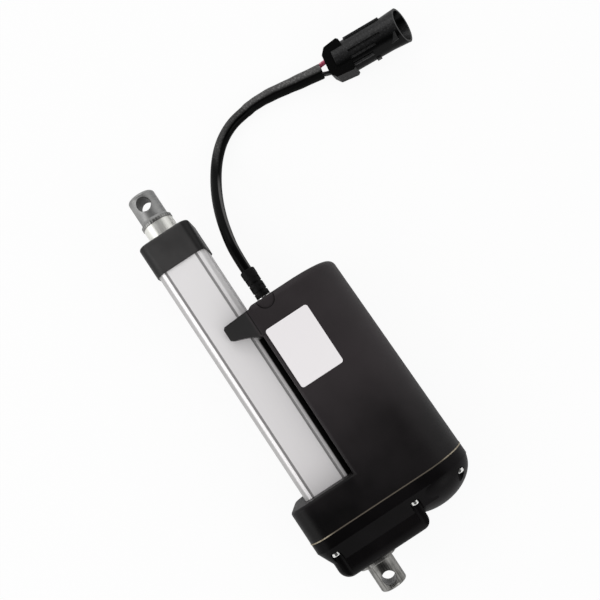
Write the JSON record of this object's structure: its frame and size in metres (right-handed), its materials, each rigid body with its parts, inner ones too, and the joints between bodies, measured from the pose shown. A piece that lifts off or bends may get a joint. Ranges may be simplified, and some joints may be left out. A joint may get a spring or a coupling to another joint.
{
  "type": "linear actuator",
  "caption": "Electric linear actuator: motor beside a square aluminium tube, rod with pin eye, rear pin eye, cable with a sealed plug.",
  "frame": {"origin": "centre of the rear pin hole", "axes": "+X along the screw towards the rod eye, +Z along both pins, motor at -Y"},
  "size_m": [0.3514, 0.2609, 0.0673],
  "materials": {
    "case_plastic": "fine-textured glass-filled black plastic",
    "gasket": "tan sealing gasket",
    "bright_screw": "bright zinc-plated socket screw",
    "eye_steel": "turned steel, satin",
    "zinc_steel": "zinc-plated steel",
    "label": "blank satin label",
    "tube_aluminium": "clear-anodised extrusion",
    "cap_plastic": "satin black moulded cap",
    "guide_plastic": "acetal bearing plastic",
    "seal_rubber": "nitrile wiper",
    "board": "circuit board",
    "switch_plastic": "black phenolic",
    "bearing_steel": "ground bearing steel",
    "ferrite": "ferrite",
    "bronze": "sintered bronze",
    "carbon": "carbon",
    "relief_rubber": "moulded black rubber",
    "cable_jacket": "black cable jacket",
    "sleeve": "black split sleeve",
    "red_wire": "red wire insulation",
    "black_wire": "black wire insulation",
    "wire_seal": "silicone wire seal",
    "connector_plastic": "glossy black moulded plastic",
    "brass_terminal": "tin-plated brass",
    "rod_steel": "bright drawn tube",
    "screw_steel": "rolled screw steel",
    "gear_plastic": "acetal gear",
    "gear_steel": "sintered gear steel",
    "laminations": "stacked electrical steel",
    "copper": "copper"
  },
  "bodies": {
    "housing": {"front_housing": "case_plastic", "housing_gasket": "gasket", "rear_cover": "case_plastic", "cover_screws": "bright_screw", "rear_eye": "eye_steel", "rear_eye_nut": "zinc_steel", "rating_label": "label", "outer_tube": "tube_aluminium", "front_cap": "cap_plastic", "front_cap_screws": "zinc_steel", "rod_guide_bush": "guide_plastic", "rod_wiper_seal": "seal_rubber", "limit_switch_strip": "board", "limit_switches": "switch_plastic", "bearing_outer_ring": "bearing_steel", "bearing_balls": "bearing_steel", "idler_shaft": "bearing_steel", "gearbox_plate": "zinc_steel", "gearbox_plate_screws": "zinc_steel", "motor_can": "zinc_steel", "motor_magnets": "ferrite", "motor_bushes": "bronze", "brush_plate": "switch_plastic", "motor_brushes": "carbon", "strain_relief": "relief_rubber", "cable": "cable_jacket", "cable_sleeve": "sleeve", "wire_red": "red_wire", "wire_black": "black_wire", "wire_seals": "wire_seal", "connector_shell": "connector_plastic", "connector_lock": "connector_plastic", "connector_terminals": "brass_terminal"},
    "rod": {"extension_tube": "rod_steel", "rod_eye": "eye_steel", "rod_ring": "rod_steel", "drive_nut": "guide_plastic", "nut_retaining_ring": "zinc_steel"},
    "screw": {"lead_screw": "screw_steel", "output_gear": "gear_plastic", "bearing_inner_ring": "bearing_steel", "screw_lock_nut": "zinc_steel", "screw_tip_guide": "guide_plastic"},
    "idler": {"idler_gear": "gear_steel"},
    "armature": {"motor_shaft": "bearing_steel", "armature_core": "laminations", "armature_windings": "copper", "commutator": "copper", "motor_pinion": "gear_steel"}
  },
  "joints": [
    {"name": "motor_spin", "type": "hinge", "parent": "housing", "child": "armature", "pos_m": [0.1, -0.0575, 0], "axis": [1, 0, 0], "range_deg": [-106312.5, 0]},
    {"name": "idler_spin", "type": "hinge", "parent": "housing", "child": "idler", "pos_m": [0.045, -0.03517, 0.00879], "axis": [1, 0, 0], "range_deg": [0, 35438.5]},
    {"name": "screw_spin", "type": "hinge", "parent": "housing", "child": "screw", "pos_m": [0, 0, 0], "axis": [1, 0, 0], "range_deg": [-13501, 0]},
    {"name": "rod_slide", "type": "slide", "parent": "housing", "child": "rod", "axis": [1, 0, 0], "range_m": [0, 0.15]}
  ],
  "couplings": [
    {"joint": "idler_spin", "follows": "motor_spin", "ratio": -0.33333},
    {"joint": "screw_spin", "follows": "motor_spin", "ratio": 0.12698},
    {"joint": "rod_slide", "follows": "motor_spin", "m_per_rad": -0.000080841}
  ]
}
